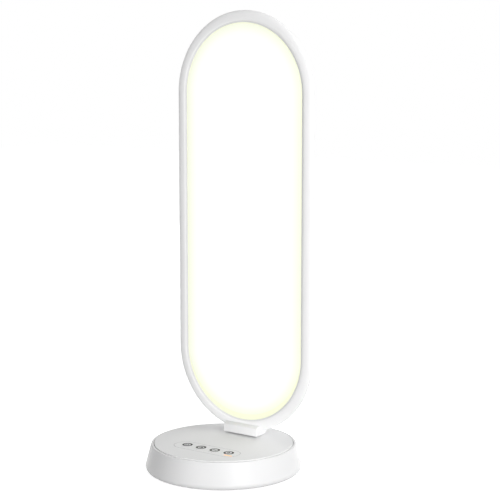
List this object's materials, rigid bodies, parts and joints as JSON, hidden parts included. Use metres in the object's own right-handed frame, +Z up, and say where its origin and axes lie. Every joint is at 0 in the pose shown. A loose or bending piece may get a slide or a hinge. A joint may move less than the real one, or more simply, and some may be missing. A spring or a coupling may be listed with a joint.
{
  "type": "selfie led lamp",
  "caption": "Capsule-shaped LED light panel with a diffuser and slim frame, tilting on a friction hinge above a round weighted base with touch keys and a rear USB-C inlet.",
  "frame": {"origin": "on the table under the middle of the round base", "axes": "+Z up along the upright panel; the light and the touch keys face -Y; +X is to the right seen from the front"},
  "size_m": [0.146, 0.14, 0.4077],
  "materials": {
    "white_gloss": "polished white moulded plastic",
    "white_matte": "fine matt moulded plastic",
    "opal": "opal diffusing acrylic, lit from behind",
    "acrylic": "clear acrylic light guide",
    "film": "white reflector film",
    "strip": "white solder mask",
    "board": "green circuit board",
    "steel": "zinc-plated steel",
    "rubber": "black rubber",
    "foam": "dark conductive foam",
    "insulation": "PVC insulation"
  },
  "bodies": {
    "base": {"base_housing": "white_gloss", "top_panel": "white_gloss", "touch_board": "board", "touch_board_screw_1": "steel", "touch_board_screw_2": "steel", "touch_pad_1": "foam", "touch_pad_2": "foam", "touch_pad_3": "foam", "touch_pad_4": "foam", "touch_lead": "insulation", "bottom_cover": "white_matte", "cover_screw_1": "steel", "cover_screw_2": "steel", "cover_screw_3": "steel", "cover_screw_4": "steel", "foot_1": "rubber", "foot_2": "rubber", "foot_3": "rubber", "foot_4": "rubber", "weight_plate": "steel", "weight_screw_1": "steel", "weight_screw_2": "steel", "control_board": "board", "board_screw_1": "steel", "board_screw_2": "steel", "usb_c_socket": "steel", "base_lead": "insulation", "hinge_bracket": "steel", "bracket_screw_1": "steel", "bracket_screw_2": "steel", "hinge_pin_left": "steel", "hinge_pin_right": "steel", "hinge_nut_left": "steel", "hinge_nut_right": "steel", "friction_washer_left": "steel", "friction_washer_right": "steel"},
    "panel": {"panel_frame": "white_gloss", "neck_cover": "white_gloss", "neck_screw_1": "steel", "neck_screw_2": "steel", "diffuser": "opal", "light_guide_plate": "acrylic", "reflector_sheet": "film", "led_strip_left": "strip", "led_strip_right": "strip", "rear_cover": "white_gloss", "rear_screw_1": "steel", "rear_screw_2": "steel", "rear_screw_3": "steel", "rear_screw_4": "steel", "rear_screw_5": "steel", "rear_screw_6": "steel", "junction_board": "board", "panel_lead": "insulation", "strip_lead_left": "insulation", "strip_lead_right": "insulation"}
  },
  "joints": [
    {"name": "panel_tilt", "type": "hinge", "parent": "base", "child": "panel", "pos_m": [0, 0.0382, 0.0305], "axis": [1, 0, 0], "range_deg": [-30, 3]}
  ]
}
